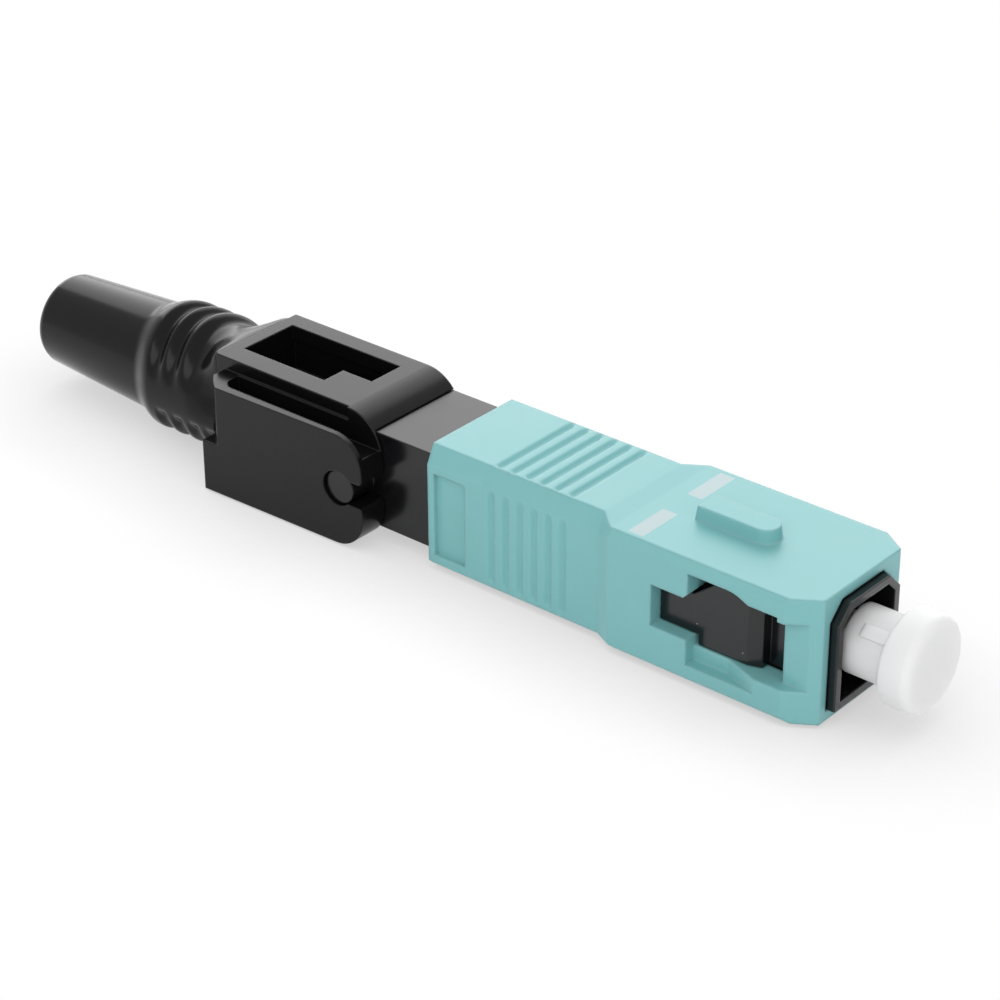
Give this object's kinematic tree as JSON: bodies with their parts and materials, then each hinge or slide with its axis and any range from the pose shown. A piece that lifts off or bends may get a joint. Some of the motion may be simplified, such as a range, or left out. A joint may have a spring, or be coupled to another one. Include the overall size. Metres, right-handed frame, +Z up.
{
  "type": "mechanical fibre connector",
  "caption": "Field-installable push-pull fibre connector: square keyed plug, black rear body, hinged hooked cover, ribbed tail boot and dust cap.",
  "frame": {"origin": "on the ferrule's axis, in the plane of the outer housing's front face", "axes": "+X forward out of the plug along the ferrule, +Z up on the key rib's side, +Y across to the far side"},
  "size_m": [0.0638, 0.011, 0.0085],
  "materials": {
    "housing_plastic": "satin moulded aqua plastic with two printed white bars",
    "frame_plastic": "glossy black moulding",
    "body_plastic": "glossy black moulding",
    "guide_plastic": "smooth natural moulding",
    "steel": "stamped stainless steel",
    "ceramic": "ground and polished white ceramic",
    "fibre_glass": "bare glass fibre",
    "carrier_plastic": "smooth natural moulding",
    "spring_steel": "bright spring steel",
    "splice_alloy": "fine-milled aluminium",
    "cap_plastic": "milky soft plastic",
    "cover_plastic": "glossy black moulding",
    "boot_plastic": "glossy black soft moulding",
    "clamp_plastic": "matt black moulding"
  },
  "bodies": {
    "plug": {"plug_frame": "frame_plastic", "rear_body": "body_plastic", "fibre_guide": "guide_plastic", "spring_washer": "steel", "ferrule_spring": "spring_steel"},
    "housing": {"outer_housing": "housing_plastic"},
    "ferrule_set": {"ferrule": "ceramic", "fibre_stub": "fibre_glass", "splice_carrier": "carrier_plastic", "splice_clip": "spring_steel", "splice_base": "splice_alloy", "stub_lid": "splice_alloy", "field_lid": "splice_alloy"},
    "cap": {"dust_cap": "cap_plastic"},
    "cover": {"rear_cover": "cover_plastic", "strain_relief_boot": "boot_plastic", "cable_clamp": "clamp_plastic"}
  },
  "joints": [
    {"name": "housing_slide", "type": "slide", "parent": "plug", "child": "housing", "axis": [-1, 0, 0], "range_m": [0, 0.0013]},
    {"name": "ferrule_float", "type": "slide", "parent": "plug", "child": "ferrule_set", "axis": [-1, 0, 0], "range_m": [0, 0.0008], "stiffness_N_per_m": 600, "springref_m": -0.006, "deforming": ["ferrule_spring"]},
    {"name": "cap_pull", "type": "slide", "parent": "ferrule_set", "child": "cap", "axis": [1, 0, 0], "range_m": [0, 0.012]},
    {"name": "cover_hinge", "type": "hinge", "parent": "plug", "child": "cover", "pos_m": [-0.03165, 0, -0.00025], "axis": [0, -1, 0], "range_deg": [0, 85]}
  ]
}
